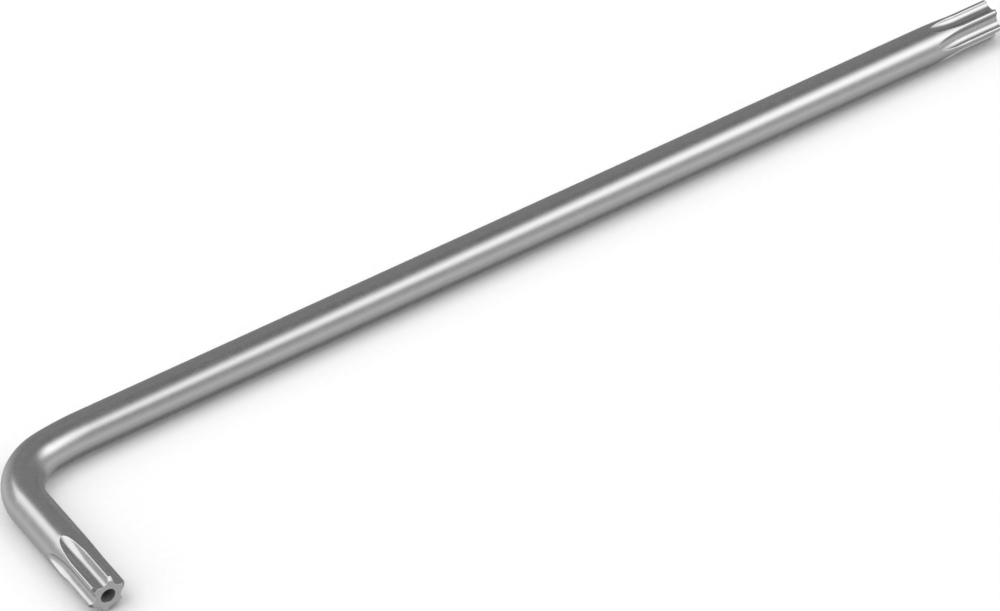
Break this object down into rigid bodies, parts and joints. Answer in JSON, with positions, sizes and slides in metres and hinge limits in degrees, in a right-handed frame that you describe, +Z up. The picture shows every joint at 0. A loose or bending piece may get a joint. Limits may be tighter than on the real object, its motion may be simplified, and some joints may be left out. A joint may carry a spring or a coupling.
{
  "type": "star key",
  "caption": "L-shaped star key: a plated round steel bar bent at a right angle, with a lobed star drive tip and a security pin hole at each end.",
  "frame": {"origin": "on the surface that the key lies on, below the middle of its overall box", "axes": "+X along the long arm towards its tip, -Y along the short arm towards its tip, +Z up"},
  "size_m": [0.1949, 0.0374, 0.0068],
  "materials": {
    "plated_steel": "satin nickel plate over hardened steel"
  },
  "bodies": {
    "root": {"long_star_tip": "plated_steel", "long_arm": "plated_steel", "bend_lead_in": "plated_steel", "bend": "plated_steel", "short_arm": "plated_steel", "short_star_tip": "plated_steel"}
  },
  "joints": []
}
